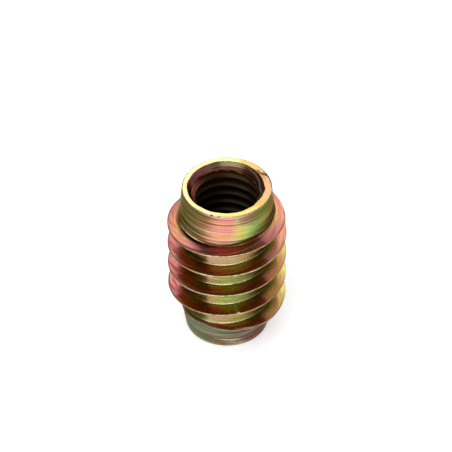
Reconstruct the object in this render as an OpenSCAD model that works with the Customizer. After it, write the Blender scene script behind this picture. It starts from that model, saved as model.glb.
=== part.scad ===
// Threaded insert for wood, turned from one steel bar. A coarse, thin-ridged wood thread
// stands on the outside, and a bore runs through for a machine thread, whose crests are
// the plain wall of the bore here. Millimetres; the base is at z = 0 and the axis is +Z.

/* [Body] */
// Overall length, from the base to the rim
body_length = 24.1; // [20:0.1:45]
// Length of the upper neck, from the rim down to its lip
neck_length = 4.9; // [2.5:0.1:7]
// Length of the flare at the lip, as a part of the neck
flare_length = 1.3; // [0.4:0.1:2]
// Height of the plain pilot below the wood thread
pilot_length = 4.0; // [2.5:0.1:6]
// Height of the taper at the foot of the pilot
pilot_taper = 1.35; // [0.4:0.05:2]

/* [Machine thread] */
// Outside diameter of the screw that the bore takes
screw_d = 10; // [6:0.5:14]
// Pitch of the machine thread
screw_pitch = 1.5; // [1:0.25:2]
// How much wider than the screw each mouth of the bore is
mouth_clearance = 0.2; // [0:0.05:0.6]
// Depth of the cone at each mouth
mouth_depth = 1.2; // [0.5:0.1:2.5]

/* [Walls] */
// Wall between the mouth of the bore and the rim of the neck
rim_wall = 0.9; // [0.6:0.05:1.4]
// How much further out the neck stands at the top of its flare than at its rim
neck_draft = 0.37; // [0:0.01:0.5]
// How much further out the lip stands than the top of the flare
lip_flare = 0.17; // [0:0.01:0.5]
// Wall between the bore and the root of the wood thread
root_wall = 1.95; // [1.2:0.05:3]
// How much smaller in radius the pilot is than the root
pilot_step = 0.32; // [0.1:0.02:0.6]
// How much smaller in radius the foot of the pilot is than its top
foot_inset = 0.23; // [0.05:0.01:0.4]

/* [Wood thread] */
// Pitch of the wood thread
ridge_pitch = 3.6; // [2.4:0.1:5]
// Height of the ridge above its root
ridge_depth = 1.8; // [0.8:0.1:3]
// Width of the land along the crest
crest_land = 0.25; // [0.1:0.05:0.6]
// Slope of each flank from square to the axis, in degrees
flank_angle = 11; // [5:1:18]
// Turn over which the crest climbs from the root to its full height, in degrees
lead_angle = 70; // [40:5:120]
// Direction in which the ridge starts, in degrees from +X
start_angle = -205; // [-360:5:0]

/* [Hidden] */

$fn = 120;
mouth_r = (screw_d + mouth_clearance) / 2;
bore_r = (screw_d - screw_pitch) / 2;
root_r = bore_r + root_wall;
crest_r = root_r + ridge_depth;
rim_r = mouth_r + rim_wall;
flare_r = rim_r + neck_draft;
lip_r = flare_r + lip_flare;
lip_z = body_length - neck_length;
pilot_r = root_r - pilot_step;
foot_r = pilot_r - foot_inset;

// The ridge is drawn from a foot that is sunk in the wall, so its ends are buried there.
steps_per_turn = 60;
sink_r = root_r - root_wall / 4;
buried_r = sink_r + 0.05;
flank_rise = tan(flank_angle);
// The low step stands just proud of the root
step_r = root_r + 0.05;
// Turn over which the ridge comes out of the pilot, and over which it then stays a low step
fade_angle = 30;
step_angle = 55;
// Heights of the crest's upper edge at the two ends of the ridge
ridge_start_z = pilot_length - 0.55;
ridge_end_z = lip_z + 1.42;
ridge_turn = (ridge_end_z - ridge_start_z) * 360 / ridge_pitch;
ridge_steps = ceil(ridge_turn * steps_per_turn / 360);
// How far each cut runs past the faces it opens
overlap = 1;

// Share of the way from 0 to 1 that x has gone, held at both ends.
function share(x) = max(0, min(1, x));

// Radius of the crest at a turn from the start: out of the pilot, along a low step, up to
// the full height, and back down into the neck at the other end.
function climb_r(turn) =
    buried_r + (step_r - buried_r) * share(turn / fade_angle)
    + (crest_r - step_r) * share((turn - fade_angle - step_angle) / lead_angle);
function fall_r(turn_left) = buried_r + ridge_depth * turn_left / lead_angle;
function ridge_r(turn) = min(climb_r(turn), fall_r(ridge_turn - turn), crest_r);

// Height of the upper flank at a radius, from the crest's upper edge at full height. The
// lower flank mirrors it below the land.
function flank_z(r) = (crest_r - r) * flank_rise;

// One point of the ridge, turned to its place on the helix.
function on_helix(turn, r, z) =
    let (angle = start_angle + turn)
    [r * cos(angle), r * sin(angle), ridge_start_z + ridge_pitch * turn / 360 + z];

// The four corners of the ridge's section: two sunk in the wall, two on the crest.
function ridge_section(turn) =
    let (r = ridge_r(turn))
    [on_helix(turn, sink_r, -crest_land - flank_z(sink_r)),
     on_helix(turn, r, -crest_land - flank_z(r)),
     on_helix(turn, r, flank_z(r)),
     on_helix(turn, sink_r, flank_z(sink_r))];

module wood_thread() {
    points = [for (i = [0 : ridge_steps])
        each ridge_section(ridge_turn * i / ridge_steps)];
    sides = [for (i = [0 : ridge_steps - 1], k = [0 : 3])
        let (a = 4 * i + k, b = 4 * i + (k + 1) % 4)
        each [[a, b + 4, a + 4], [a, b, b + 4]]];
    last = 4 * ridge_steps;
    ends = [[0, 2, 1], [0, 3, 2],
            [last, last + 1, last + 2], [last, last + 2, last + 3]];
    polyhedron(points, concat(sides, ends));
}

// The turned blank: tapered pilot, straight core at the thread's root, and the neck, which
// narrows from its lip through the flare to the rim.
module blank() {
    rotate_extrude()
        polygon([[0, 0], [foot_r, 0], [pilot_r, pilot_taper], [pilot_r, pilot_length],
                 [root_r, pilot_length], [root_r, lip_z], [lip_r, lip_z],
                 [flare_r, lip_z + flare_length], [rim_r, body_length],
                 [0, body_length]]);
}

// The bore with a cone at each mouth, drawn past both faces of the body.
module bore() {
    past_r = mouth_r + (mouth_r - bore_r) * overlap / mouth_depth;
    rotate_extrude()
        polygon([[0, -overlap], [past_r, -overlap], [bore_r, mouth_depth],
                 [bore_r, body_length - mouth_depth], [past_r, body_length + overlap],
                 [0, body_length + overlap]]);
}

module insert_body() {
    color("goldenrod")
        difference() {
            union() {
                blank();
                wood_thread();
            }
            bore();
        }
}

insert_body();
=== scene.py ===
# Threaded insert for wood, as a Blender add-on that is run as a script. One turned and
# plated steel piece stands on a pale floor. Lengths are millimetres until a mesh is made.

import math

import bmesh
import bpy
import numpy as np
from bpy.props import FloatProperty, FloatVectorProperty, PointerProperty
from bpy.types import Operator, Panel, PropertyGroup
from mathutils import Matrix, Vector


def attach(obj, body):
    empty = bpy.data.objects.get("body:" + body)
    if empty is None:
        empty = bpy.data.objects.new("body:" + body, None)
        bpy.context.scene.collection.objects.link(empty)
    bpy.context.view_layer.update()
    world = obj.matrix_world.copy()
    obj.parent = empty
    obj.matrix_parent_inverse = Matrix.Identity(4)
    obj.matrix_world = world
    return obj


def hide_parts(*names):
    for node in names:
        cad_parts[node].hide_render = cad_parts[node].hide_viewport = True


bl_info = {
    "name": "Threaded Insert",
    "version": (1, 0, 0),
    "blender": (4, 5, 0),
    "location": "View3D > Sidebar > Insert",
    "description": "Builds a plated threaded insert for wood and a plain stage for it",
    "category": "Add Mesh",
}

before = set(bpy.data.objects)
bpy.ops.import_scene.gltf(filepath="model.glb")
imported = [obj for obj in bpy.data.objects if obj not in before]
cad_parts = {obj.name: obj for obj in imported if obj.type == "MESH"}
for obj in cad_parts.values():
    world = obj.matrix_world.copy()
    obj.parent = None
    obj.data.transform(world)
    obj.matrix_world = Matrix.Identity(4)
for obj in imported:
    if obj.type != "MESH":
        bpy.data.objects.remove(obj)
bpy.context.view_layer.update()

MM = 0.001
COLUMNS = 240            # columns of each surface round one turn
FIRST_ANGLE = -205.0     # where the ridge comes out of the pilot, in degrees from +X
# Marks kept at each point. The shade mark is painted light and shade, and the last mark is both
# scuffed edges and painted highlights.
MARKS = ("film", "second_film", "share", "shade", "slate", "matt", "wear_and_highlight")

LIP_LAND = 0.07          # height of the lip's upright land
LIP_CHAMFER = 0.22       # height above the lip at which its chamfer ends
SHOULDER = 0.14          # height over which the pilot widens to the core
MOUTH_SLOPE = 0.76       # how much each mouth's cone narrows in radius per millimetre
CREST_DEPTH = 1.45       # depth of the machine thread's first crest at the front

# Rows along each part of the ridged strip's section: the shoulder's two levels, the core,
# the lower flank's three parts, the crest's land, the upper flank and the seam. Those of
# the corner that ends each part come on top.
SPANS = (1, 1, 6, 2, 2, 3, 2, 8, 2)
PART_ROWS = tuple(a + b for a, b in zip(SPANS, (0, 0, 4, 2, 0, 2, 2, 4, 1)))
LAND, UPPER = 6, 7       # the crest's land and the upper flank among them

FLOOR_HALF = 3.0         # half the side of the floor, in metres
FLOOR_LIFT = 0.42        # light that the floor adds for the camera and for reflections
VIEW_ELEVATION = math.radians(42.67)
VIEW_DISTANCE = 0.4      # metres
VIEW_TARGET = (-0.000123, 0.0, 0.01707)
LENS = 237.5             # millimetres, on a sensor 36 mm wide


def linear(hex_colour):
    """sRGB hex to linear RGB, by the standard's two-part curve."""
    parts = [int(hex_colour[i:i + 2], 16) / 255 for i in (1, 3, 5)]
    return tuple(c / 12.92 if c <= 0.04045 else ((c + 0.055) / 1.055) ** 2.4
                 for c in parts)


# ---------------------------------------------------------------- settings

def length(name, description, default, low, high):
    """A length setting in millimetres."""
    return FloatProperty(name=name, description=description, default=default,
                         min=low, max=high, precision=3)


class InsertSizes(PropertyGroup):
    """Sizes of the insert, in millimetres and degrees."""
    height: length("Height", "Overall length along the bore", 24.1, 15, 45)
    neck_rim_r: length("Neck at rim", "Outer radius of the neck at the rim", 6.0, 4, 8)
    neck_flare_r: length("Neck at flare", "Radius of the neck where its flare starts",
                         6.37, 4, 8)
    lip_r: length("Lip", "Radius of the lip at the bottom of the neck", 6.54, 4, 9)
    lip_z: length("Lip height", "Height of the lip above the base", 19.2, 10, 40)
    flare_length: length("Flare", "Length of the flare above the lip", 1.3, 0.4, 3)
    root_r: length("Root", "Radius of the core between the turns of the ridge",
                   6.2, 4, 9)
    crest_r: length("Crest", "Radius of the ridge's crest", 8.0, 5, 12)
    ridge_pitch: length("Ridge pitch", "Rise of the ridge in one turn", 3.6, 2, 6)
    crest_land: length("Crest land", "Width of the flat along the crest", 0.25, 0.1, 0.6)
    flank_angle: FloatProperty(name="Flank angle", default=math.radians(11),
                               description="Slope of each flank from square to the axis",
                               subtype="ANGLE", min=0.05, max=0.5)
    pilot_r: length("Pilot", "Radius of the plain pilot", 5.88, 4, 9)
    foot_r: length("Foot", "Radius of the pilot at the base", 5.65, 4, 9)
    taper_height: length("Taper", "Height of the taper at the foot", 1.35, 0.4, 3)
    shoulder_z: length("Shoulder", "Height at which the pilot meets the core", 4.0, 2, 6)
    bore_r: length("Bore crest", "Radius of the machine thread's crests", 4.25, 2, 6)
    screw_pitch: length("Screw pitch", "Pitch of the machine thread", 1.5, 1, 2)
    screw_depth: length("Screw depth", "Depth of the machine thread", 0.78, 0.4, 1.2)
    mouth_r: length("Mouth", "Mean radius of the bore's mouth at the rim", 5.16, 4, 6)


class InsertColours(PropertyGroup):
    """Colours of the plating and the stage."""
    def colour(name, description, hex_colour):
        return FloatVectorProperty(name=name, description=description, size=3,
                                   subtype="COLOR", min=0, max=1,
                                   default=linear(hex_colour))
    straw: colour("Straw", "Thinnest chromate film", "#FFF6BE")
    yellow: colour("Yellow", "Thin film", "#F3DF80")
    gold: colour("Gold", "Film turning orange", "#E8AE66")
    rose: colour("Rose", "Film turning pink", "#EA8A8A")
    wine: colour("Wine", "Film turning purple", "#A64C56")
    rust: colour("Rust", "Film between purple and olive", "#B4551F")
    olive: colour("Olive", "Film turning green", "#8E8C3C")
    leaf: colour("Leaf", "Thick green film", "#78A446")
    lime: colour("Lime", "Thicker, pale green film", "#C4DE6A")
    sulphur: colour("Sulphur", "Film of the second yellow", "#E4CE62")
    peach: colour("Peach", "Thickest film", "#F2C6A2")
    slate: colour("Slate", "Thin grey plating low on the pilot", "#82918A")
    # The edge colour also paints the highlights and glints
    edge: colour("Edge", "Rubbed edges of the ridge", "#E0D2A8")
    floor: colour("Floor", "Floor under the insert", "#F4F4F4")


# ---------------------------------------------------------------- shape

def smooth(x):
    """Smooth step from 0 to 1 as x goes from 0 to 1."""
    x = np.clip(x, 0, 1)
    return x * x * (3 - 2 * x)


def bump_at(angle, centre, half_width):
    """Bell of height 1 round an angle: the squared cosine of the angle away from the
    centre, out to half_width."""
    away = (angle - centre + 180) % 360 - 180
    return np.where(np.abs(away) < half_width,
                    np.cos(away / half_width * math.pi / 2) ** 2, 0.0)


def waves(x, seed, count, low, high, whole=False):
    """Sum of count sines of x, whose frequencies lie between low and high, scaled to
    about -1 to 1. Whole frequencies close up round a circle. It is the same each run."""
    dice = np.random.default_rng(seed)
    total = np.zeros_like(x, dtype=float)
    frequencies = dice.uniform(low, high, count)
    if whole:
        frequencies = np.round(frequencies)
    for frequency, phase in zip(frequencies, dice.uniform(0, 2 * math.pi, count)):
        total += np.sin(x * frequency + phase)
    return total / math.sqrt(count)


def rounded_rows(corners, radii, spans):
    """Rows of a section from its corners, all given as (r, z) arrays along the columns.
    Each corner with a radius is replaced by a short quadratic curve, from a point that
    far before it to a point that far after it, and each side is cut into equal spans."""
    rows = []
    last = len(corners) - 1
    before = corners[0]
    for i in range(1, last + 1):
        here = corners[i]
        if i < last and radii[i] > 0:
            to_last = corners[i - 1] - here
            to_next = corners[i + 1] - here
            d1 = np.maximum(np.hypot(*to_last), 1e-9)
            d2 = np.maximum(np.hypot(*to_next), 1e-9)
            a = here + to_last * np.minimum(0.45, radii[i] / d1)
            b = here + to_next * np.minimum(0.45, radii[i] / d2)
        else:
            a = b = here
        for j in range(spans[i - 1]):
            rows.append(before + (a - before) * j / spans[i - 1])
        if a is not b:
            steps = 4 if radii[i] > 0.06 else 2
            for j in range(steps):
                t = j / steps
                rows.append(a * (1 - t) ** 2 + here * 2 * t * (1 - t) + b * t * t)
        before = b
    rows.append(before)
    return np.stack(rows, 1)


class Surface:
    """Collects grids of points and their plating, and makes one closed mesh of them."""

    def __init__(self):
        self.points, self.faces, self.marks, self.size = [], [], [], 0

    def add(self, angle, r, z, plating, wear_and_highlight, outward=True):
        """Grid of points at the angles of its columns and the radii and heights of its
        rows, with a quad between each four neighbours. The plating is six values: two
        film colours, the share of the second, the shade, which is painted light and
        shade, and the shares of slate and of matt film. The mark after them is scuffed
        edges and painted highlights."""
        rows, columns = r.shape
        a = np.radians(np.broadcast_to(angle, r.shape))
        self.points.append(np.stack([r * np.cos(a), r * np.sin(a), z], -1).reshape(-1, 3))
        self.marks.append(np.stack([np.broadcast_to(m, r.shape).ravel()
                                    for m in (*plating, wear_and_highlight)], -1))
        index = np.arange(rows * columns).reshape(rows, columns) + self.size
        quads = np.stack([index[:-1, :-1], index[:-1, 1:], index[1:, 1:], index[1:, :-1]],
                         -1).reshape(-1, 4)
        self.faces.append(quads if outward else quads[:, ::-1])
        self.size += rows * columns

    def mesh(self, name):
        """One mesh in metres: points closer than 0.5 micrometre are joined, which closes
        the seams and drops the faces that have no area."""
        points = np.concatenate(self.points) * MM
        faces = np.concatenate(self.faces)
        marks = np.concatenate(self.marks)
        mesh = bpy.data.meshes.new(name)
        mesh.from_pydata(points.tolist(), [], faces.tolist())
        for i, mark in enumerate(MARKS):
            layer = mesh.attributes.new(mark, "FLOAT", "POINT")
            layer.data.foreach_set("value", marks[:, i].astype(np.float32))
        shape = bmesh.new()
        shape.from_mesh(mesh)
        bmesh.ops.remove_doubles(shape, verts=shape.verts, dist=0.0005 * MM)
        bmesh.ops.dissolve_degenerate(shape, edges=shape.edges, dist=0.0002 * MM)
        shape.to_mesh(mesh)
        shape.free()
        mesh.shade_smooth()
        mesh.set_sharp_from_angle(angle=math.radians(32))
        return mesh


def column_angles(turns=1.0, first=0):
    """Turn from the start of the ridge at each column, in degrees."""
    return (np.arange(int(round(turns * COLUMNS)) + 1) + first) * 360 / COLUMNS


def level_rows(levels, turn):
    """Rows of points at some heights, each the same at every turn."""
    return np.repeat(np.asarray(levels)[:, None], len(turn), axis=1)


class InsertShape:
    """The insert's section at every angle. `turn` is the angle in degrees that has gone
    by since the ridge came out of the pilot, and it runs on past 360."""

    neck_from = 1548.0       # turn from which the upper flank runs into the neck
    lower_from = 1600.0      # turn from which the lower flank may reach the neck too
    sink_from = 1640.0       # turn from which the ridge takes on the neck's plating
    close_from = 1890.0      # turn from which the groove's corner meets the turn below
    run_out = 1700.0         # turn from which the ridge's section closes on the lip
    lip_end = 1908.0         # turn at which the groove under the lip closes
    rise_end = 85.0          # turn to which the ridge is only a low step
    full_from = 155.0        # turn from which the crest has its full height
    full_to = 1632.0         # turn at which the crest starts to fall again
    first_z = 3.45           # height of the crest's upper edge at the start
    seam_z = 2.85            # level at which the pilot's surface joins the ridge's

    def __init__(self, sizes):
        self.s = sizes
        self.k = math.tan(sizes.flank_angle)
        self.fall = (sizes.crest_r - sizes.root_r) / (self.full_from - self.rise_end)

    def neck(self, z):
        """Radius of the neck: a straight cone from the rim to the flare, a steeper one
        from there down, and a chamfer and a short upright land at the lip."""
        s = self.s
        flare_z = s.lip_z + s.flare_length
        shoulder_r = s.lip_r - 0.04
        return np.interp(z, [s.lip_z + LIP_LAND, s.lip_z + LIP_CHAMFER, flare_z, s.height],
                         [s.lip_r, shoulder_r, s.neck_flare_r, s.neck_rim_r])

    def core(self, turn, z):
        """Radius of the core: the pilot below its shoulder and the root above it. Past
        the ridge's start the root comes in over 30 degrees."""
        s = self.s
        step = np.clip((z - s.shoulder_z) / SHOULDER, 0, 1)
        step = np.maximum(step, np.clip((turn - 360) / 30, 0, 1))
        return s.pilot_r + (s.root_r - s.pilot_r) * step

    def crest_top(self, turn):
        """Height of the crest's upper edge, which climbs by the pitch in each turn."""
        return self.first_z + self.s.ridge_pitch * turn / 360

    def crest(self, turn):
        """Radius of the crest: a low step level with the root, a straight climb to full
        height, and a fall at the same rate into the neck."""
        s = self.s
        start = s.pilot_r + (s.root_r - s.pilot_r) * np.clip(turn / 30, 0, 1)
        climb = s.root_r + self.fall * np.clip(turn - self.rise_end, 0, None)
        drop = s.crest_r - self.fall * np.clip(turn - self.full_to, 0, None)
        ragged = 0.035 * waves(turn, 5, 9, 0.25, 1.4) * smooth((turn - 70) / 40)
        ragged = ragged * (0.35 + 0.65 * bump_at(turn, 125, 60))
        r = np.where(turn < self.rise_end, start, np.minimum(climb, s.crest_r))
        r = np.minimum(r, drop) + np.where(turn < self.full_to, ragged, 0)
        return np.minimum(r, s.crest_r - 0.002 - np.abs(ragged) * 0.3)

    def burr(self, turn):
        """Height of a small burr turned up on the upper edge of one crest."""
        return 0.36 * np.clip(1 - np.abs(turn - 486) / 2.2, 0, 1)

    def section(self, turn):
        """Corners of the outer section at each turn, as (r, z) arrays: the groove wall,
        the lower flank or the lip's underside, the crest, the upper flank, and a seam
        in the next groove."""
        s, k = self.s, self.k
        top = self.crest_top(turn)
        low = top - s.crest_land
        crest = self.crest(turn)
        end = smooth((turn - self.run_out) / (self.lip_end - self.run_out))
        opened = smooth(turn / 40)

        def to_end(z):
            return z + (s.lip_z - z) * end

        top_run = np.minimum(top, self.crest_top(self.run_out))
        low_run = top_run - s.crest_land

        # Upper flank and where it meets the root, the lip's underside or the neck
        over = turn >= self.neck_from
        r_wall = np.where(turn < 60, np.minimum(crest, s.root_r), s.root_r)
        z_upper = top + (s.crest_r - r_wall) * k
        r_upper = np.where(z_upper > s.lip_z, s.crest_r - (s.lip_z - top) / k, r_wall)
        z_upper = np.minimum(z_upper, s.lip_z)
        z_neck = top_run + 0.3
        for _ in range(4):
            z_neck = top_run + (s.crest_r - self.neck(z_neck)) * k
        z_neck = np.maximum(to_end(z_neck), s.lip_z)
        r_top = np.where(over, self.neck(z_neck), r_upper)
        z_top = np.where(over, z_neck, z_upper)

        # Seam in the groove above, or on the neck
        gap = np.clip(s.lip_z - z_upper, 0, None)
        near_lip = np.where(turn > 1400, np.minimum(0.5, 0.45 * gap), 0.5)
        on_neck = to_end(z_neck + 0.25 * smooth((turn - self.neck_from) / 30))
        z_seam = np.where(over, np.maximum(on_neck, z_neck), z_top + near_lip)
        r_seam = np.where(over, self.neck(z_seam), r_top)

        # Lower flank, from the core out to the crest
        r_core = np.where(turn < 360, self.core(turn, low - 0.38), s.root_r)
        z_core = np.minimum(low - (s.crest_r - r_core) * k, s.lip_z)
        r_lip = np.where(over, s.lip_r, np.minimum(s.lip_r, np.maximum(crest, r_core)))
        z_lip = np.minimum(low - (s.crest_r - r_lip) * k, s.lip_z)
        spread = 0.5 * np.clip((self.lower_from - turn) / 60, 0, 1)
        r_mid = np.minimum(s.lip_r + spread, np.maximum(crest, r_core))
        z_mid = low - (s.crest_r - r_mid) * k
        z_out = low_run - 0.25
        for _ in range(4):
            z_out = low_run - (s.crest_r - self.neck(z_out)) * k
        z_out = np.maximum(to_end(z_out), s.lip_z)
        past = turn > self.lower_from
        emerged = past & (z_out > s.lip_z)
        r_mid = np.where(emerged, self.neck(z_out), r_mid)
        z_mid = np.where(emerged, z_out, np.minimum(z_mid, np.where(past, s.lip_z, np.inf)))

        # Crest edges, which sink into the neck as the ridge ends
        z_c1 = low - (s.crest_r - crest) * k
        z_c2 = top + (s.crest_r - crest) * k
        sunk = over & (crest < self.neck(z_c1))
        share1 = z_mid + (z_top - z_mid) * 0.33
        share2 = z_mid + (z_top - z_mid) * 0.67
        r_c1 = np.where(sunk, self.neck(share1), crest)
        z_c1 = np.where(sunk, share1, z_c1)
        sunk = over & (crest < self.neck(z_c2))
        r_c2 = np.where(sunk, self.neck(share2), crest)
        z_c2 = np.where(sunk, share2, z_c2) + self.burr(turn)

        # Everything fans out from one point on the pilot at the start
        def fan(z):
            return self.seam_z + (z - self.seam_z) * opened
        z_seam, z_top, z_c1, z_c2, z_lip, z_mid, z_core = (
            fan(z) for z in (z_seam, z_top, z_c1, z_c2, z_lip, z_mid, z_core))

        return {"core": (r_core, z_core), "lip": (r_lip, z_lip), "mid": (r_mid, z_mid),
                "low": (r_c1, z_c1), "high": (r_c2, z_c2), "top": (r_top, z_top),
                "seam": (r_seam, z_seam)}

    def ridge_rows(self, turn):
        """Rows of the ridged surface at each turn, from the seam below to the seam
        above, as an array of radii and one of heights."""
        s = self.s
        now = self.section(turn)
        past = self.section(np.maximum(turn - 360, 0))
        first = turn < 360
        r0 = np.where(first, s.pilot_r, past["seam"][0])
        z0 = np.where(first, self.seam_z, past["seam"][1])
        r_core, z_core = now["core"]
        r_core = np.maximum(r_core, np.where(turn > self.close_from, past["top"][0], 0))
        z_core = np.maximum(z_core, z0)

        def level(z):
            z = np.where(first, np.minimum(z, z_core), np.maximum(z, z0))
            z = np.minimum(z, z_core)
            return self.core(turn, z), z

        corners = [(r0, z0), level(s.shoulder_z), level(s.shoulder_z + SHOULDER),
                   (r_core, z_core), now["lip"], now["mid"], now["low"], now["high"],
                   now["top"], now["seam"]]
        # Past the start, the two levels of the shoulder lie on the seam
        late = turn > 400
        for i in (1, 2):
            corners[i] = (np.where(late, r0, corners[i][0]),
                          np.where(late, z0, corners[i][1]))
        corners = [np.stack([np.broadcast_to(c, turn.shape) for c in corner])
                   for corner in corners]
        radii = [0, 0, 0, 0.14, 0.03, 0, 0.03, 0.03, 0.16, 0]
        rows = rounded_rows(corners, radii, SPANS)
        # The strip starts and ends at one point each, on the seam of the turn beside it
        rows[:, :, 0] = np.array([[s.pilot_r], [self.seam_z]])
        rows[:, :, -1] = np.stack([r0[-1:], z0[-1:]])
        return rows


# ---------------------------------------------------------------- plating

def round_trip(angle, *stops):
    """Value at an angle from (angle, value) pairs, straight between them all round."""
    at, value = zip(*stops)
    return np.interp(angle, at, value, period=360)


def wrap(angle):
    """Angle brought to between -180 and 180 degrees."""
    return (angle + 180) % 360 - 180


def turns_down(turn):
    """How many turns a place lies below the ridge's last whole turn. It is a whole
    number but for a smooth change over 50 degrees at the back."""
    count = (1555 - turn) / 360 + 0.5
    whole = np.floor(count)
    return whole + smooth((count - whole - 0.86) / 0.14)


def neck_plating(angle, z):
    """Plating of the neck: pink at the front, yellow-green beside it, olive at the
    sides, with painted light at the front and painted shade at the sides, darker
    towards the lip in painted shade, and duller near the rim."""
    lean = wrap(angle + 2.5 * (22.2 - z))
    film = round_trip(
        lean, (-178, .63), (-150, .62), (-122, .60), (-108, .60), (-100, .90), (-76, .92),
        (-66, .86), (-55, .76), (-44, .67), (-36, .62), (-24, .62), (0, .63), (150, .62))
    rose = 0.30
    share = round_trip(
        lean, (-142, 0), (-130, .15), (-118, .38), (-106, .9), (-86, 1), (-73, 0), (30, 0),
        (60, .8), (110, .8), (140, 0))
    # Painted light and shade round the neck: light at the front, shaded at the sides
    shade = round_trip(
        lean, (-178, .40), (-150, .34), (-134, .38), (-120, .50), (-106, .86), (-96, 1),
        (-84, .98), (-70, .80), (-58, .68), (-45, .68), (-30, .62), (0, .54), (20, .6), (90, .9),
        (150, .5))
    # The yellow-green patch keeps to the middle of the neck
    high = smooth((z - 21.7) / 1.5) * bump_at(lean, -64, 32)
    film = film + 0.8 * (0.60 - film) * high
    share = np.maximum(share, 0.7 * high * bump_at(lean, -74, 32))
    shade = shade * (1 - 0.25 * high)
    # Above the flare the front turns golden and the left turns dark green
    band = smooth((z - 20.38) / 0.1) * smooth((20.95 - z) / 0.2)
    front = bump_at(angle, -88, 26)
    left = round_trip(angle, (-178, 1), (-128, 1), (-104, 0), (120, 0), (150, 1))
    rose = rose - 0.13 * band * front
    film = film + 0.07 * band * left
    share = share * (1 - 0.6 * band * left)
    shade = shade * (1 - 0.42 * band * left)
    # A dark foot, whose edge climbs to the right: painted shade and a painted reflection of the
    # dark flank below
    foot_z = round_trip(
        angle, (-178, 20.15), (-125, 20.12), (-112, 19.72), (-98, 19.62), (-90, 19.72),
        (-52, 20.32), (-40, 20.2), (150, 20.1))
    foot = smooth((foot_z - z) / 0.14 + 0.5)
    foot = foot * round_trip(angle, (-178, 1), (-54, 1), (-44, 0), (90, 0), (150, 1))
    film = film + (0.555 - film) * foot * 0.8
    share = share * (1 - 0.85 * foot)
    shade = shade * (1 - foot) + 0.40 * foot
    # Painted light low on the right side of the neck
    right = smooth((21.6 - z) / 1.2) * bump_at(angle, -15, 36)
    shade = shade + 0.5 * right
    top = smooth((z - 23.3) / 0.5)
    shade = shade * (1 - 0.12 * top)
    rose = rose + 0.05 * top
    slate = (0.05 + 0.10 * top + 0.25 * bump_at(angle, -155, 34)
             + 0.16 * bump_at(angle, -10, 30))
    return film, rose, share, shade, slate, 0.0


def flank_plating(angle, across, down, turn):
    """Plating of the ridge's upper flanks. `across` goes from 0 at the root to 1 at the
    crest, and `down` counts the turns from the top one."""
    lower = np.clip(down, 0, 1)
    outer_top = round_trip(
        angle, (-178, .30), (-150, .31), (-130, .34), (-115, .38), (-100, .42), (-80, .45),
        (-66, .54), (-56, .52), (-47, .33), (-20, .30), (40, .25), (90, .30), (140, .28))
    outer_low = round_trip(
        angle, (-178, .33), (-162, .36), (-154, .38), (-146, .50), (-126, .50), (-56, .51),
        (-50, .48), (-43, .32), (-18, .30), (0, .27), (40, .20), (90, .30), (140, .28))
    outer_low = outer_low - 0.045 * np.clip(down - 0.8, 0, 2.2) * round_trip(
        angle, (-50, 0), (-44, 1), (10, 1), (40, 0))
    film = outer_top + (outer_low - outer_top) * lower
    # Blotches on the left, where the bath drained off each turn
    film = film + 0.045 * waves(turn + 35 * across, 21, 7, 0.12, 0.5) * (
        0.3 + bump_at(angle, -165, 40) + 0.6 * bump_at(angle, -8, 40))
    inner_top = round_trip(
        angle, (-178, .19), (-140, .19), (-125, .27), (-112, .44), (-100, .46), (-78, .48),
        (-62, .56), (-52, .46), (-42, .24), (-30, .20), (90, .20), (150, .2))
    inner_low = round_trip(
        angle, (-178, .30), (-166, .36), (-156, .53), (-120, .58), (-96, .60), (-70, .61),
        (-50, .63), (-28, .66), (-18, .60), (-8, .40), (10, .30), (90, .25), (140, .25))
    second = inner_top + (inner_low - inner_top) * lower
    wide = 0.75 + 0.3 * bump_at(angle, -84, 20)
    share = smooth((wide - across) / 0.75)
    green = bump_at(angle, 2, 34) * smooth(down - 1)
    second = second + (0.82 - second) * green
    share = share + (0.34 - share) * green
    # Painted light and shade round the flanks, by direction round the axis
    shade_low = round_trip(
        angle, (-178, .76), (-158, .68), (-147, .74), (-128, .95), (-100, .98), (-70, .98),
        (-50, 1), (-25, 1), (0, .92), (90, .85), (150, .8))
    shade_top = round_trip(
        angle, (-178, .76), (-146, .66), (-126, .74), (-108, .62), (-78, .54), (-60, .72),
        (-45, 1), (-25, 1), (0, .85), (150, .8))
    # A dark gap under the lip: painted shade, where the lip shades the flank
    gap = smooth((0.40 - across) / 0.16) * round_trip(
        angle, (-178, .85), (-120, .85), (-104, .5), (-64, .3), (-50, 0), (120, 0),
        (150, .85))
    shade_top = shade_top * (1 - gap)
    shade = shade_top + (shade_low - shade_top) * lower
    # Painted shade in the corner with the core, and at the left along the very edge
    corner = smooth((0.14 - across) / 0.1) * lower
    rim = smooth((across - 0.90) / 0.08) * round_trip(
        angle, (-178, .75), (-150, .75), (-110, .6), (-60, .45), (-30, .2), (30, 0),
        (150, .3))
    shade = shade * (1 - 0.70 * corner) * (1 - rim)
    slate = (1 - lower) * 0.05
    matt = 0.45 * bump_at(angle, -34, 22) * smooth((across - 0.2) / 0.35) * lower
    return film, second, share, shade, slate, matt


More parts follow.
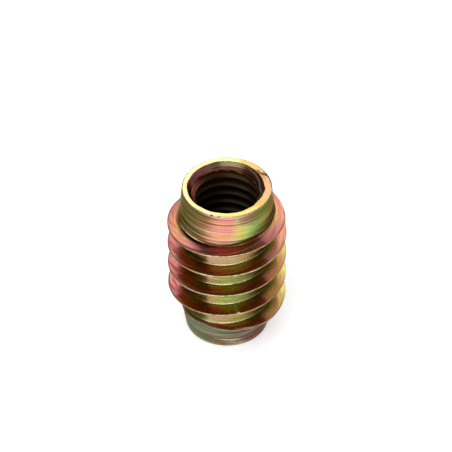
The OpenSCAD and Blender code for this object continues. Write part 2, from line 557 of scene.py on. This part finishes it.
def wall_plating(angle, down):
    """Plating of the core below each turn of the ridge, counted down from the top one:
    a thick matt band lit by painted light at the front and at the back, and dark
    olive in painted shade between."""
    at = np.clip((angle + 118) / 56, 0, 1)
    number = np.arange(5)
    left = np.interp(down, number, (1.05, .97, .98, 1.02, 1.02))
    middle = np.interp(down, number, (.99, .86, .80, 1.0, 1.0))
    right = np.interp(down, number, (.93, .765, .765, .79, .79))
    film = np.where(at < 0.4, left + (middle - left) * at / 0.4,
                    middle + (right - middle) * (at - 0.4) / 0.6)
    # Painted light: the band lit at the front and at the back
    lit = round_trip(
        angle, (-124, 0), (-118, .15), (-112, .9), (-98, 1), (-80, 1), (-66, .8), (-46, 0),
        (60, 0), (90, .7), (120, 0))
    side = 0.605 + 0.04 * np.sin(np.radians(angle * 2))
    shade = 0.55 + 0.45 * lit * (1 - 0.85 * smooth(down - 2))
    # Painted shade on the walls of the lower turns at the left
    dark = smooth((down - 2.2) * 2) * round_trip(
        angle, (-178, .5), (-160, .8), (-124, .7), (-112, 0), (150, 0))
    shade = shade * (1 - dark)
    side = side - 0.05 * dark
    return film, side, 1 - lit, shade, 0.08 * lit, 0.88 * lit


def pilot_plating(angle, z):
    """Plating of the pilot: grey-green, with mauve at its right and a brown foot, in painted
    shade, and a painted shadow at its left under the ridge's start.
    """
    film = round_trip(
        angle, (-178, .66), (-125, .66), (-110, .61), (-90, .70), (-60, .66), (-10, .66),
        (40, .5), (90, .66))
    share = round_trip(angle, (-92, 0), (-72, .8), (-50, 1), (0, .9), (60, 0))
    # Painted shade round the pilot
    shade = round_trip(
        angle, (-178, .46), (-110, .52), (-82, .44), (-60, .40), (-20, .42), (60, .54))
    foot = smooth((1.98 - z) / 0.12)
    film = film + foot * (0.53 - film) * bump_at(angle, -84, 40) * 0.9
    # Painted shade: a little darker at the foot and lighter on the taper
    taper = smooth((1.1 - z) / 0.2)
    shade = shade * (1 - 0.10 * foot + 0.30 * taper)
    right = bump_at(angle, -44, 34)
    slate = 0.60 - 0.30 * right - 0.34 * foot * bump_at(angle, -96, 62)
    # Painted shadow at the left, under the place where the ridge starts: dark and olive
    edge_z = round_trip(
        angle, (-178, 2.1), (-166, 1.7), (-153, 2.5), (-142, 2.9), (-130, 3.5), (130, 3.5),
        (160, 2.9))
    under = smooth((z - edge_z) / 0.7) * bump_at(angle, -160, 48)
    film = film + (0.61 - film) * under
    share = share * (1 - under)
    shade = shade * (1 - 0.78 * under)
    slate = slate * (1 - 0.9 * under)
    return film, 0.42, share, shade, slate, 0.25


# ---------------------------------------------------------------- grids

def add_ridge(surface, shape):
    """The ridged surface as one long strip that winds round the core: its section is
    carried along the helix, and the end of each turn's strip is the next one's start."""
    turn = column_angles(shape.lip_end / 360)
    r, z = shape.ridge_rows(turn)
    angle = wrap(FIRST_ANGLE + turn)
    count = r.shape[0]
    # Which part of the section each row lies on, in the order of the corners
    part = np.repeat(np.arange(len(PART_ROWS)), PART_ROWS)[:, None]
    if len(part) != count:
        raise ValueError(f"the section has {count} rows and PART_ROWS {len(part)}")

    crest = shape.crest(turn)
    across = np.clip((r - shape.s.root_r) / np.maximum(crest - shape.s.root_r, 0.1), 0, 1)
    down = turns_down(turn)
    on_neck = (r < shape.neck(z) + 0.03) & (z > shape.s.lip_z - 0.02)
    on_neck = on_neck & (turn > shape.neck_from)
    wall = part <= 2
    on_pilot = ((r < shape.s.pilot_r + 0.06) | ((turn < 105) & (part >= 3) & (part <= 5))
                | ((wall | (part == 8)) & (z < shape.s.shoulder_z + 0.07)))
    low_flank = (part >= 3) & (part <= 5)
    land = part == LAND
    upper = (part == UPPER) | ((part == 8) & (r > shape.s.root_r + 0.05))
    climbing = land & (turn < 150)
    zones = [on_pilot, climbing, on_neck, wall, low_flank, land, upper]
    # The ridge starts as a dark olive step and turns to dark red as it climbs
    red = smooth((turn - 72) / 22)
    dark_step = (.62 - .10 * red, .6, 0, .07 + .06 * red, 0, .12)
    shown = smooth((turn - 12) / 34)
    pilot = pilot_plating(angle, z)
    start_step = [low + (dark - low) * shown for low, dark in zip(pilot, dark_step)]
    plating = [pilot, start_step, neck_plating(angle, z),
               wall_plating(angle, down), (.6, .6, 0, .6, 0, 0),
               (.56, .56, 0, .55, .2, 0), flank_plating(angle, across, down, turn)]
    above = wall_plating(angle, down - 1)
    # Where the ridge ends, its flanks take on the neck's plating as they sink into it
    sunk = smooth(1 - (r - shape.neck(z)) / 0.5) * (part >= 3)
    sunk = sunk * smooth((turn - shape.sink_from) / 60)
    chosen = []
    for i in range(6):
        plain = np.select(zones, [each[i] for each in plating], above[i])
        chosen.append(plain + (plating[2][i] - plain) * sunk)
    full = smooth((crest - shape.s.root_r - 0.9) / 0.8)
    start = sum(PART_ROWS[:LAND])
    row = np.arange(count)[:, None]
    land_row = (row - start) / PART_ROWS[LAND]
    # The crest's land is pale: scuffed edges, with a painted highlight that is strongest at the
    # front
    rubbed_and_highlight = round_trip(
        angle, (-178, .3), (-158, .15), (-140, .2), (-124, .45), (-108, .8), (-98, .9),
        (-80, .85), (-66, .55), (-50, .35), (-25, .35), (0, .7), (120, .7))
    rubbed_and_highlight = rubbed_and_highlight * (0.85 + 0.3 * waves(turn, 31, 9, 0.2, 1.1))
    wear_and_highlight = np.where(land, smooth(land_row * 4) * full * rubbed_and_highlight, 0.0)
    wear_and_highlight = np.where(climbing & (land_row < 0.25), 0.5 * smooth((turn - 45) / 20), wear_and_highlight)
    # A bright line round the foot of each groove: a painted highlight on the corner's fillet,
    # strongest at the front
    line = row - start - PART_ROWS[LAND] - SPANS[UPPER]
    foot = round_trip(
        angle, (-124, 0), (-113, .6), (-100, 1), (-78, 1), (-66, .6), (-50, .2), (-30, 0),
        (60, 0), (90, .4), (120, 0))
    wear_and_highlight = np.where((line > 0) & (line < 5) & (turn < 1440) & (turn > 60), foot, wear_and_highlight)
    # A painted highlight along the lip's chamfer, where the ridge sinks into the neck
    lip = on_neck & (z < shape.s.lip_z + 0.2) & (turn > shape.sink_from)
    wear_and_highlight = np.where(lip, 0.9, wear_and_highlight)
    surface.add(angle, r, z, chosen, wear_and_highlight)


def neck_column(shape):
    """Column of the helix at which the neck's first column stands."""
    return int(round(shape.neck_from / 360 * COLUMNS))


def add_neck(surface, shape):
    """The neck: level rows up the cone, held above the ridged surface's last seam."""
    s = shape.s
    turn = column_angles(first=neck_column(shape))
    angle = wrap(FIRST_ANGLE + turn)
    seam = shape.section(turn)["seam"][1]
    seam[-1] = seam[0]
    flare_z = s.lip_z + s.flare_length
    levels = np.concatenate([
        s.lip_z + np.array([LIP_LAND, (LIP_LAND + LIP_CHAMFER) / 2, LIP_CHAMFER]),
        np.linspace(s.lip_z + 0.30, flare_z - 0.06, 7), [flare_z + 0.04],
        np.linspace(flare_z + 0.15, s.height - 0.09, 16)])
    z = np.maximum(levels[:, None], seam[None, :])
    z = np.concatenate([seam[None, :], z])
    groove = 0.008 * waves(z, 3, 6, 12, 40) * smooth((z - seam) / 0.3)
    groove = groove * smooth((s.height - 0.1 - z) / 0.3)
    r = shape.neck(z) - np.abs(groove)
    # The rim's outer edge, slightly broken
    edge = np.stack([np.full_like(seam, s.neck_rim_r - 0.03),
                     np.full_like(seam, s.neck_rim_r - 0.09)])
    edge_z = np.stack([np.full_like(seam, s.height - 0.03),
                       rim_height(shape, angle, np.full_like(seam, s.neck_rim_r))])
    nick = 0.16 * bump_at(angle, -110, 2.6) + 0.12 * bump_at(angle, -100.5, 2.2)
    edge = edge - nick
    edge_z[0] -= 0.9 * nick
    r = np.concatenate([r, edge])
    z = np.concatenate([z, edge_z])
    # A painted highlight along the lip's chamfer at the left, and a scuffed outer edge at the rim
    left = round_trip(angle, (-178, 1), (-128, 1), (-116, 0), (120, 0), (150, 1))
    wear_and_highlight = np.where(z < s.lip_z + 0.24, 0.9 * left, 0.0)
    wear_and_highlight[-2:] = 0.5
    surface.add(angle, r, z, neck_plating(angle, z), wear_and_highlight)
    return angle, r[-1], z[-1]


def past_crack(angle, r):
    """Angle past the rim's crack, which slants by 20 degrees a millimetre."""
    return wrap(angle - 24 - 20 * (5.9 - r))


def rim_height(shape, angle, r):
    """Height of the rim: flat, but for a slanting crack where the parting tool ran out,
    with a shallow step that fades over 40 degrees on its right."""
    past = past_crack(angle, r)
    low = 0.16 * smooth((past + 40) / 40) * (past < 0.8)
    crack = 0.30 * np.exp(-((past - 0.4) / 1.3) ** 2)
    outer = smooth((r - 4.9) / 0.7)
    return shape.s.height - np.maximum(low, crack) * outer


def mouth_edge(shape, angle):
    """Radius of the bore's cone at the rim: the cone stands a little off centre and the
    thread breaks out of it on one side."""
    return (shape.s.mouth_r + 0.16 * np.cos(np.radians(angle - 190))
            + 0.09 * bump_at(angle, 62, 60) + 0.07 * bump_at(angle, 98, 40)
            - 0.10 * bump_at(angle, -36, 24)
            + 0.05 * bump_at(angle, -4, 9)
            + 0.02 * waves(np.radians(angle), 8, 5, 6, 17, whole=True))


def hole(shape, angle, z, mouth=True):
    """Radius of the bore: the wider of the mouth's cones and the machine thread, whose
    profile has 30 degree flanks between a flat crest and a flat root. Without the
    mouth, the thread's own radius."""
    s = shape.s
    pitch = s.screw_pitch
    crest_z = s.height - CREST_DEPTH + pitch * (wrap(angle) + 90) / 360
    away = np.abs((z - crest_z + pitch / 2) % pitch - pitch / 2)
    rise = np.clip((away - pitch / 8) / (pitch * 5 / 16), 0, 1)
    thread = s.bore_r + s.screw_depth * rise
    if not mouth:
        return thread
    top = mouth_edge(shape, angle) - MOUTH_SLOPE * (s.height - z)
    foot = s.mouth_r - 0.06 - MOUTH_SLOPE * z
    return np.maximum(np.maximum(top, foot), thread)


def add_bore(surface, shape):
    """The bore, from the rim down. Its rows follow the machine thread through the
    middle and are level at both mouths; rows past a level are held at it."""
    s = shape.s
    turn = column_angles()
    angle = FIRST_ANGLE + turn
    high = s.height - 1.9
    low = 1.3
    top_levels = s.height - np.concatenate([
        [0.02], np.arange(0.08, 1.86, 0.075), [1.9]])
    around = wrap(angle)
    rim_z = rim_height(shape, around, hole(shape, around, s.height))
    z = np.minimum(top_levels[:, None], rim_z - 0.01)
    rows = [(z, hole(shape, angle, z))]
    # Helical rows: crest edges, root edges and the middle of each
    pitch = s.screw_pitch
    steps = np.array([-0.125, 0, 0.125, 0.4375, 0.5, 0.5625]) * pitch
    crest_0 = s.height - CREST_DEPTH + pitch * (FIRST_ANGLE + 360 + 90) / 360
    starts = (crest_0 - pitch * np.arange(-2, int(s.height / pitch) + 3)[:, None]
              + steps[None, ::-1]).ravel()
    z = np.clip(starts[:, None] + pitch * turn[None, :] / 360, low, high)
    rows.append((z, hole(shape, angle, z)))
    z = level_rows(np.linspace(low, 0.02, 12), turn)
    rows.append((z, hole(shape, angle, z)))
    z = np.concatenate([row[0] for row in rows])
    r = np.concatenate([row[1] for row in rows])
    down = s.height - z
    cone = mouth_edge(shape, around) - MOUTH_SLOPE * down
    thread = hole(shape, around, z, mouth=False)
    in_cone = smooth((cone - thread) / 0.09 + 0.5)
    # On the left the plating runs on over the first, shallow groove, to its crest
    first_crest = 2.2 - s.screw_pitch * (around % 360 - 90) / 360
    in_cone = np.maximum(in_cone, bump_at(around, 178, 58)
                         * smooth((first_crest - 0.08 - down) / 0.15))
    film = round_trip(
        around, (-178, .42), (-150, .43), (-90, .50), (-20, .50), (20, .52), (90, .44),
        (120, .43), (140, .415))
    upper = smooth((0.62 - down) / 0.15)
    share = upper * round_trip(
        around, (-178, 0), (150, .1), (128, .25), (114, .7), (100, 1), (70, 1), (40, .4), (10, 0))
    # Painted light and shade round the mouth's cone, with more painted shade below it at the back
    shade = round_trip(
        around, (-178, .95), (-130, .7), (-90, .3), (-10, .20), (20, .12), (45, .14), (62, .24),
        (76, .44), (108, .46), (124, .72), (138, .9), (158, 1))
    shade = shade * (1 - 0.6 * (1 - upper) * bump_at(around, 84, 44))
    # The thread is brown, in painted shade that deepens downwards into the bore
    groove = (thread - s.bore_r) / s.screw_depth
    fade = smooth((5.2 - down) / 3.4)
    dim = (0.02 + 0.05 * fade) * (1 - groove) + (0.03 + 0.09 * fade) * groove
    shade = dim + (shade - dim) * in_cone
    film = 0.555 + (film - 0.555) * in_cone
    # A painted highlight along the lower edge of the mouth's cone
    edge = np.exp(-((cone - thread) / 0.038) ** 2) * (down < 1.6)
    edge = edge * round_trip(
        around, (-178, .4), (-120, 0), (-40, 0), (-10, .5), (30, .5), (60, .25), (90, .25),
        (120, .25), (150, .3))
    slate = (0.04 + 0.3 * share) * in_cone
    matt = np.maximum(0.5 * edge, 0.4 * (1 - in_cone))
    surface.add(angle, r, z, (film, .60, share * in_cone, shade, slate, matt), edge)
    return r[0], z[0], r[-1], z[-1]


def add_rim(surface, shape, angle, outer_r, outer_z, inner_r, inner_z):
    """The rim: straight rows from the neck's edge to the bore's."""
    share = np.array([0, .12, .3, .5, .7, .9, 1])[:, None]
    inner = inner_r + 0.025
    r = outer_r + (inner - outer_r) * share
    z = rim_height(shape, angle, r)
    z[0] = outer_z
    r = np.concatenate([r, inner_r[None, :]])
    z = np.concatenate([z, inner_z[None, :]])
    film = round_trip(
        angle, (-178, .03), (-120, .05), (-90, .08), (-60, .10), (-40, .14), (-20, .19), (0, .24),
        (20, .25), (40, .18), (68, .15), (75, .03), (120, .02), (150, .03))
    warm = round_trip(angle, (-40, 0), (-10, .35), (25, .35), (45, 0))
    # The crack is painted dark: painted shade in the cut
    crack = np.exp(-(past_crack(angle, r) / 1.6) ** 2) * (r > 5.1)
    surface.add(angle, r, z, (film, 0.5, 0.6 * crack, 0.95 * (1 - 0.85 * crack), 0, 0),
                warm * (1 - crack))


def add_pilot(surface, shape, inner_r, inner_z):
    """The base ring and the pilot, from the bore's edge out and up to the ridge."""
    s = shape.s
    turn = column_angles()
    angle = wrap(FIRST_ANGLE + turn)
    start = inner_r + 0.03
    ring = start + (s.foot_r - 0.1 - start) * np.array([0, .35, .7, 1])[:, None]
    r = np.concatenate([inner_r[None, :], ring])
    z = np.concatenate([inner_z[None, :], np.zeros_like(ring)])
    levels = np.concatenate([
        [0.05], np.arange(0.15, 1.95, 0.05), [2.0, 2.1, 2.3, 2.6, shape.seam_z]])
    side = np.interp(levels, [0, s.taper_height, s.taper_height + 0.02, 9],
                     [s.foot_r, s.pilot_r - 0.03, s.pilot_r, s.pilot_r])
    side[0] = s.foot_r - 0.02
    r = np.concatenate([r, level_rows(side, turn)])
    z = np.concatenate([z, level_rows(levels, turn)])
    # Bright lines on the pilot's front: scratches, and painted glints that keep to the front
    scratches_and_glints = np.zeros_like(z)
    for place, tall, towards, wide, much in (
            (1.44, .07, -90, 26, 1.0), (1.24, .06, -80, 20, .8), (0.95, .05, -86, 20, .5),
            (0.68, .06, -78, 24, .6), (0.28, .09, -76, 20, .5)):
        scratches_and_glints = scratches_and_glints + much * bump_at(angle, towards, wide) * np.exp(
            -((z - place) / tall) ** 2)
    scratches_and_glints = np.clip(1.6 * scratches_and_glints, 0, 1.6)
    film, second, share, shade, slate, matt = pilot_plating(angle, z)
    matt = matt + 0.35 * scratches_and_glints
    surface.add(angle, r, z, (film, second, share, shade, slate, matt), scratches_and_glints)


def insert_mesh(sizes):
    """The whole insert as one closed surface, made from its grids."""
    shape = InsertShape(sizes)
    surface = Surface()
    add_ridge(surface, shape)
    angle, neck_r, neck_z = add_neck(surface, shape)
    top_r, top_z, low_r, low_z = add_bore(surface, shape)
    # The bore's columns start at the ridge's start; the neck's at another one
    shift = neck_column(shape) % COLUMNS
    turned = (np.arange(COLUMNS + 1) + shift) % COLUMNS
    add_rim(surface, shape, angle, neck_r, neck_z, top_r[turned], top_z[turned])
    add_pilot(surface, shape, low_r, low_z)
    return surface.mesh("insert")


# ---------------------------------------------------------------- material

def node(tree, kind, values=(), **settings):
    """Adds a node. `values` holds its inputs, in order or by name: each is a value,
    another node's output, or a node, whose first output is meant. The other keywords are
    the node's own settings."""
    new = tree.nodes.new(kind)
    for setting, value in settings.items():
        setattr(new, setting, value)
    for key, value in values.items() if isinstance(values, dict) else enumerate(values):
        if isinstance(value, bpy.types.Node):
            value = value.outputs[0]
        if isinstance(value, bpy.types.NodeSocket):
            tree.links.new(value, new.inputs[key])
        else:
            new.inputs[key].default_value = value
    return new


def new_material(name):
    """An empty node material and its output node."""
    material = bpy.data.materials.new(name)
    material.use_nodes = True
    material.node_tree.nodes.clear()
    return material, node(material.node_tree, "ShaderNodeOutputMaterial")


def chromated_steel(colours):
    """Turned steel, zinc plated and dipped in an iridescent yellow chromate. The film's
    thickness sets its colour, from straw through pink to green, and it drifts with the
    place in the bath. Tool marks and scuffed edges show through the film. A painted
    shade darkens it, and painted highlights and glints lighten its edges and turned faces."""
    material, output = new_material("yellow_chromate_zinc")
    tree = material.node_tree
    where = node(tree, "ShaderNodeTexCoord")
    # Object coordinates in millimetres
    mm = node(tree, "ShaderNodeVectorMath", {0: where.outputs["Object"], "Scale": 1000.0},
              operation="SCALE")
    film, second, share, shade, slate, matt, wear_and_highlight = (
        node(tree, "ShaderNodeAttribute", attribute_name=mark).outputs["Fac"]
        for mark in MARKS)

    # Place along the turned section, and direction round the axis
    parts = node(tree, "ShaderNodeSeparateXYZ", [mm])
    flat = node(tree, "ShaderNodeCombineXYZ", parts.outputs[:2])
    radius = node(tree, "ShaderNodeVectorMath", [flat], operation="LENGTH")
    along = node(tree, "ShaderNodeMath", [radius.outputs["Value"], parts.outputs[2]],
                 operation="ADD")
    spot = node(tree, "ShaderNodeVectorMath", [flat], operation="NORMALIZE")
    turned = node(tree, "ShaderNodeSeparateXYZ", [spot])

    def streaks(round_scale, along_scale, detail):
        """Noise that is drawn out round the axis: a turning mark. A lathe's own marks are
        finer, and these are drawn about 0.2 mm apart so that they show."""
        place = node(tree, "ShaderNodeCombineXYZ", [
            node(tree, "ShaderNodeMath", pair, operation="MULTIPLY")
            for pair in ((turned.outputs[0], round_scale),
                         (turned.outputs[1], round_scale), (along, along_scale))])
        return node(tree, "ShaderNodeTexNoise", {
            "Vector": place, "Scale": 1.0, "Detail": detail, "Roughness": 0.62})

    # Film drift: blotches about 2.5 mm across, streaks and finer mottling of 0.4 mm
    blotch = node(tree, "ShaderNodeTexNoise", {"Vector": mm, "Scale": 0.4, "Detail": 2.0})
    mottle = node(tree, "ShaderNodeTexNoise", {"Vector": mm, "Scale": 2.5, "Detail": 3.0})
    marks = streaks(1.4, 6.0, 3.0)
    drift = -0.19
    for noise, amount in ((blotch, 0.12), (mottle, 0.06), (marks, 0.20)):
        drift = node(tree, "ShaderNodeMath", [noise, amount, drift],
                     operation="MULTIPLY_ADD")

    # The turned faces are streaked; the flanks, which lie level, hardly are
    normal = node(tree, "ShaderNodeSeparateXYZ", [where.outputs["Normal"]])
    level = node(tree, "ShaderNodeMath", [normal.outputs[2]], operation="ABSOLUTE")
    depth = node(tree, "ShaderNodeMath", [level, -1.4, 2.1], operation="MULTIPLY_ADD")
    sway = node(tree, "ShaderNodeMath", [streaks(0.7, 5.0, 3.0), 0.5],
                operation="SUBTRACT")
    swing = node(tree, "ShaderNodeMath", [sway, depth], operation="MULTIPLY")
    drift = node(tree, "ShaderNodeMath", [swing, -0.14, drift], operation="MULTIPLY_ADD")

    stops = ((0.00, colours.straw), (0.10, colours.yellow), (0.20, colours.gold),
             (0.32, colours.rose), (0.43, colours.wine), (0.52, colours.rust),
             (0.62, colours.olive), (0.72, colours.leaf), (0.81, colours.lime),
             (0.90, colours.sulphur), (1.00, colours.peach))

    def interference(thickness):
        """Colour of a film of some thickness, with the drift added."""
        ramp = node(tree, "ShaderNodeValToRGB", [
            node(tree, "ShaderNodeMath", [thickness, drift], operation="ADD")])
        elements = ramp.color_ramp.elements
        for i, (at, colour) in enumerate(stops):
            stop = elements[i] if i < 2 else elements.new(at)
            stop.position = at
            stop.color = (*colour, 1.0)
        return ramp.outputs["Color"]

    reach = node(tree, "ShaderNodeMath", [level, -0.2, 1.3], operation="MULTIPLY_ADD")
    blend = node(tree, "ShaderNodeMath", [sway, reach], operation="MULTIPLY")
    mixed = node(tree, "ShaderNodeMath", [blend, share], operation="ADD", use_clamp=True)
    dull = node(tree, "ShaderNodeMath", [swing, 1.8, 1.0], operation="MULTIPLY_ADD")
    tone = node(tree, "ShaderNodeMath", [shade, dull], operation="MULTIPLY",
                use_clamp=True)
    # Fine bright streaks along the turned faces: painted glints on the turning marks, brightest
    # where the painted shade is lightest
    painted_glints = node(tree, "ShaderNodeMath", [streaks(0.6, 6.5, 2.0), 0.56],
                operation="SUBTRACT", use_clamp=True)
    painted_glints = node(tree, "ShaderNodeMath", [painted_glints, depth], operation="MULTIPLY")
    lit = node(tree, "ShaderNodeMath", [shade, 3.6], operation="MULTIPLY")
    patchy = node(tree, "ShaderNodeMath", [streaks(9.0, 3.0, 2.0), 2.4, -0.35],
                  operation="MULTIPLY_ADD", use_clamp=True)
    worn_and_highlight = node(tree, "ShaderNodeMath", [wear_and_highlight, patchy], operation="MULTIPLY")
    bare_and_glints = node(tree, "ShaderNodeMath", [painted_glints, lit, worn_and_highlight], operation="MULTIPLY_ADD",
                use_clamp=True)
    # The two films, then grey plating, the painted shade, and scuffed edges with painted
    # highlights and glints over them
    colour = interference(film)
    for factor, over, blend_type in (
            (mixed, interference(second), "MIX"), (slate, (*colours.slate, 1.0), "MIX"),
            (1.0, tone, "MULTIPLY"), (bare_and_glints, (*colours.edge, 1.0), "MIX")):
        colour = node(tree, "ShaderNodeMix", {"Factor": factor, 6: colour, 7: over},
                      data_type="RGBA", blend_type=blend_type).outputs[2]
    rough = node(tree, "ShaderNodeMath", [mottle, 0.14, 0.21], operation="MULTIPLY_ADD")
    metal = node(tree, "ShaderNodeMath", [1.0, matt], operation="SUBTRACT")
    relief = node(tree, "ShaderNodeBump", {"Height": marks, "Strength": 0.25,
                                           "Distance": 0.02 * MM})
    steel = node(tree, "ShaderNodeBsdfPrincipled", {
        "Base Color": colour, "Metallic": metal, "Roughness": rough,
        "Specular Tint": (0.5, 0.45, 0.35, 1.0), "Normal": relief})
    tree.links.new(steel.outputs[0], output.inputs["Surface"])
    return material


def floor_material(colours):
    """Matt white sheet, plain and even. Rays from the camera and from reflections see
    it a little brighter, so that it reads as white and keeps the insert's shadow."""
    material, output = new_material("matt_white_sheet")
    tree = material.node_tree
    sheet = node(tree, "ShaderNodeBsdfDiffuse", {"Color": (*colours.floor, 1.0)})
    path = node(tree, "ShaderNodeLightPath")
    seen = path.outputs["Is Camera Ray"]
    for ray in ("Is Glossy Ray", "Is Transmission Ray"):
        seen = node(tree, "ShaderNodeMath", [seen, path.outputs[ray]],
                    operation="MAXIMUM")
    lift = node(tree, "ShaderNodeMath", [seen, FLOOR_LIFT], operation="MULTIPLY")
    glow = node(tree, "ShaderNodeEmission", {"Color": (1, 1, 1, 1), "Strength": lift})
    both = node(tree, "ShaderNodeAddShader", [sheet, glow])
    tree.links.new(both.outputs[0], output.inputs["Surface"])
    return material


# ---------------------------------------------------------------- stage

def aim(thing, place, target):
    """Stands an object at a place and turns its -Z towards a target."""
    thing.location = place
    away = Vector(target) - Vector(place)
    thing.rotation_euler = away.to_track_quat("-Z", "Y").to_euler()


def soft_box(name, azimuth, elevation, distance, width, height, power):
    """A rectangular soft lamp that looks at the insert. Angles are in degrees, azimuth
    from the front towards the right."""
    lamp = bpy.data.lights.new(name, "AREA")
    lamp.shape = "RECTANGLE"
    lamp.size, lamp.size_y, lamp.energy = width, height, power
    thing = bpy.data.objects.new(name, lamp)
    bpy.context.collection.objects.link(thing)
    a, e = math.radians(azimuth), math.radians(elevation)
    place = (distance * math.cos(e) * math.sin(a), -distance * math.cos(e) * math.cos(a),
             distance * math.sin(e))
    aim(thing, place, (0, 0, 0.012))


class INSERT_OT_body(Operator):
    """Build the plated insert and let it stand for the CAD part"""
    bl_idname = "insert.body"
    bl_label = "Insert"

    def execute(self, context):
        mesh = insert_mesh(context.scene.insert_sizes)
        mesh.materials.append(chromated_steel(context.scene.insert_colours))
        piece = bpy.data.objects.new("threaded_insert", mesh)
        context.collection.objects.link(piece)
        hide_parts("insert_body")
        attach(piece, "root")
        return {"FINISHED"}


class INSERT_OT_stage(Operator):
    """Set up the floor, the soft lamps, the world and the camera"""
    bl_idname = "insert.stage"
    bl_label = "Stage"

    def execute(self, context):
        scene = context.scene
        scene.view_settings.view_transform = "Standard"
        mesh = bpy.data.meshes.new("floor")
        half = FLOOR_HALF
        mesh.from_pydata([(-half, -half, 0), (half, -half, 0), (half, half, 0),
                          (-half, half, 0)], [], [(0, 1, 2, 3)])
        mesh.materials.append(floor_material(scene.insert_colours))
        floor = bpy.data.objects.new("floor", mesh)
        context.collection.objects.link(floor)

        world = bpy.data.worlds.new("pale_room")
        world.use_nodes = True
        world.node_tree.nodes["Background"].inputs["Color"].default_value = (
            0.40, 0.40, 0.41, 1)
        scene.world = world
        soft_box("back_box", 180, 42, 0.9, 1.1, 0.56, 2.1)
        soft_box("front_box", -25, 55, 0.9, 0.9, 0.9, 4.0)
        soft_box("low_front_box", -2, 23, 1.0, 2.1, 0.30, 2.6)

        lens = bpy.data.cameras.new("camera")
        lens.lens = LENS
        lens.sensor_width = 36
        lens.clip_start = 0.01
        camera = bpy.data.objects.new("camera", lens)
        context.collection.objects.link(camera)
        x, y, z = VIEW_TARGET
        place = (x, y - VIEW_DISTANCE * math.cos(VIEW_ELEVATION),
                 z + VIEW_DISTANCE * math.sin(VIEW_ELEVATION))
        aim(camera, place, VIEW_TARGET)
        scene.camera = camera
        return {"FINISHED"}


class INSERT_PT_panel(Panel):
    """The insert's pieces, sizes and colours"""
    bl_idname = "INSERT_PT_panel"
    bl_label = "Threaded insert"
    bl_space_type = "VIEW_3D"
    bl_region_type = "UI"
    bl_category = "Insert"

    def draw(self, context):
        layout = self.layout
        layout.operator("insert.body")
        layout.operator("insert.stage")
        for group in (context.scene.insert_sizes, context.scene.insert_colours):
            box = layout.box()
            for name in group.__annotations__:
                box.prop(group, name)


CLASSES = (InsertSizes, InsertColours, INSERT_OT_body, INSERT_OT_stage, INSERT_PT_panel)


def register():
    for cls in CLASSES:
        bpy.utils.register_class(cls)
    bpy.types.Scene.insert_sizes = PointerProperty(type=InsertSizes)
    bpy.types.Scene.insert_colours = PointerProperty(type=InsertColours)


def unregister():
    del bpy.types.Scene.insert_colours
    del bpy.types.Scene.insert_sizes
    for cls in reversed(CLASSES):
        bpy.utils.unregister_class(cls)


def main():
    register()
    bpy.ops.insert.stage()
    bpy.ops.insert.body()


if __name__ == "__main__":
    main()
